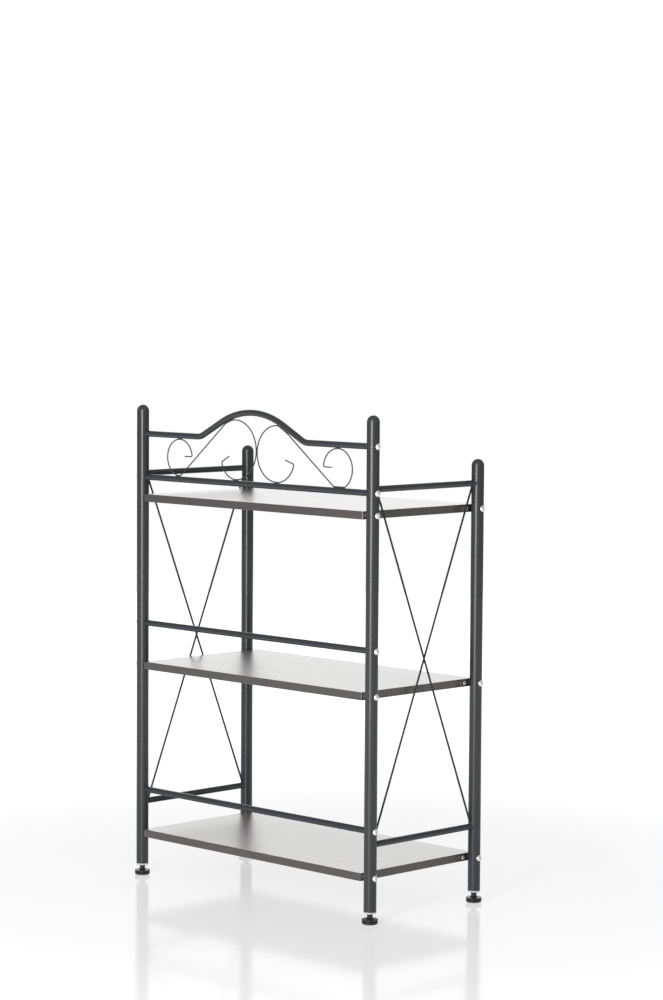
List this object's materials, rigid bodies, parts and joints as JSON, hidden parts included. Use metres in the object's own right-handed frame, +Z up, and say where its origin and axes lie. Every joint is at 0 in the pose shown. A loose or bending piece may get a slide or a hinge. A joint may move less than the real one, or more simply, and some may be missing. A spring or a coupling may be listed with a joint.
{
  "type": "bakers rack",
  "caption": "Open shelf rack of round black tube with wood-look boards, back rails, crossed side rods, an arched top rail with wire scrolls, and levelling feet.",
  "frame": {"origin": "on the floor below the middle of the rack", "axes": "+X to the right along the shelves as seen from the front, +Y to the back, +Z up"},
  "size_m": [0.7102, 0.335, 0.998],
  "materials": {
    "frame_paint": "satin powder coat, almost black",
    "board_laminate": "smooth dark wood-grain laminate on board",
    "bolt_plating": "bright plated steel",
    "zinc_plating": "zinc plated steel",
    "black_plastic": "smooth black moulded plastic",
    "grey_plastic": "light grey moulded plastic"
  },
  "bodies": {
    "rack": {"arch_bolts": "bolt_plating", "arch_nuts": "zinc_plating", "arch_rail": "frame_paint", "back_rail_bolts_bottom": "bolt_plating", "back_rail_bolts_middle": "bolt_plating", "back_rail_bolts_top": "bolt_plating", "back_rail_bottom": "frame_paint", "back_rail_middle": "frame_paint", "back_rail_nuts_bottom": "zinc_plating", "back_rail_nuts_middle": "zinc_plating", "back_rail_nuts_top": "zinc_plating", "back_rail_top": "frame_paint", "brace_falling_left": "frame_paint", "brace_falling_right": "frame_paint", "brace_rising_left": "frame_paint", "brace_rising_right": "frame_paint", "cap_back_left": "black_plastic", "cap_back_right": "black_plastic", "cap_front_left": "black_plastic", "cap_front_right": "black_plastic", "foot_plug_back_left": "grey_plastic", "foot_plug_back_right": "grey_plastic", "foot_plug_front_left": "grey_plastic", "foot_plug_front_right": "grey_plastic", "post_back_left": "frame_paint", "post_back_right": "frame_paint", "post_front_left": "frame_paint", "post_front_right": "frame_paint", "scroll_left": "frame_paint", "scroll_right": "frame_paint", "shelf_bolts_bottom": "bolt_plating", "shelf_bolts_middle": "bolt_plating", "shelf_bolts_top": "bolt_plating", "shelf_bottom": "board_laminate", "shelf_brackets_bottom": "zinc_plating", "shelf_brackets_middle": "zinc_plating", "shelf_brackets_top": "zinc_plating", "shelf_inserts_bottom": "zinc_plating", "shelf_inserts_middle": "zinc_plating", "shelf_inserts_top": "zinc_plating", "shelf_middle": "board_laminate", "shelf_screws_bottom": "zinc_plating", "shelf_screws_middle": "zinc_plating", "shelf_screws_top": "zinc_plating", "shelf_top": "board_laminate", "side_rail_bottom_left": "frame_paint", "side_rail_bottom_right": "frame_paint", "side_rail_top_left": "frame_paint", "side_rail_top_right": "frame_paint"},
    "foot_back_left": {"foot_base_back_left": "black_plastic"},
    "stud_back_left": {"foot_stud_back_left": "zinc_plating"},
    "foot_back_right": {"foot_base_back_right": "black_plastic"},
    "stud_back_right": {"foot_stud_back_right": "zinc_plating"},
    "foot_front_left": {"foot_base_front_left": "black_plastic"},
    "stud_front_left": {"foot_stud_front_left": "zinc_plating"},
    "foot_front_right": {"foot_base_front_right": "black_plastic"},
    "stud_front_right": {"foot_stud_front_right": "zinc_plating"}
  },
  "joints": [
    {"name": "foot_back_left_height", "type": "slide", "parent": "rack", "child": "foot_back_left", "axis": [0, 0, -1], "range_m": [-0.001, 0.012]},
    {"name": "foot_back_left_turn", "type": "hinge", "parent": "foot_back_left", "child": "stud_back_left", "pos_m": [-0.3373, 0.15155, 0.02], "axis": [0, 0, -1], "range_deg": [-300, 3500]},
    {"name": "foot_back_right_height", "type": "slide", "parent": "rack", "child": "foot_back_right", "axis": [0, 0, -1], "range_m": [-0.001, 0.012]},
    {"name": "foot_back_right_turn", "type": "hinge", "parent": "foot_back_right", "child": "stud_back_right", "pos_m": [0.3373, 0.15155, 0.02], "axis": [0, 0, -1], "range_deg": [-300, 3500]},
    {"name": "foot_front_left_height", "type": "slide", "parent": "rack", "child": "foot_front_left", "axis": [0, 0, -1], "range_m": [-0.001, 0.012]},
    {"name": "foot_front_left_turn", "type": "hinge", "parent": "foot_front_left", "child": "stud_front_left", "pos_m": [-0.3373, -0.15155, 0.02], "axis": [0, 0, -1], "range_deg": [-300, 3500]},
    {"name": "foot_front_right_height", "type": "slide", "parent": "rack", "child": "foot_front_right", "axis": [0, 0, -1], "range_m": [-0.001, 0.012]},
    {"name": "foot_front_right_turn", "type": "hinge", "parent": "foot_front_right", "child": "stud_front_right", "pos_m": [0.3373, -0.15155, 0.02], "axis": [0, 0, -1], "range_deg": [-300, 3500]}
  ],
  "couplings": [
    {"joint": "foot_back_left_turn", "follows": "foot_back_left_height", "rad_per_m": 5026.5},
    {"joint": "foot_back_right_turn", "follows": "foot_back_right_height", "rad_per_m": 5026.5},
    {"joint": "foot_front_left_turn", "follows": "foot_front_left_height", "rad_per_m": 5026.5},
    {"joint": "foot_front_right_turn", "follows": "foot_front_right_height", "rad_per_m": 5026.5}
  ]
}
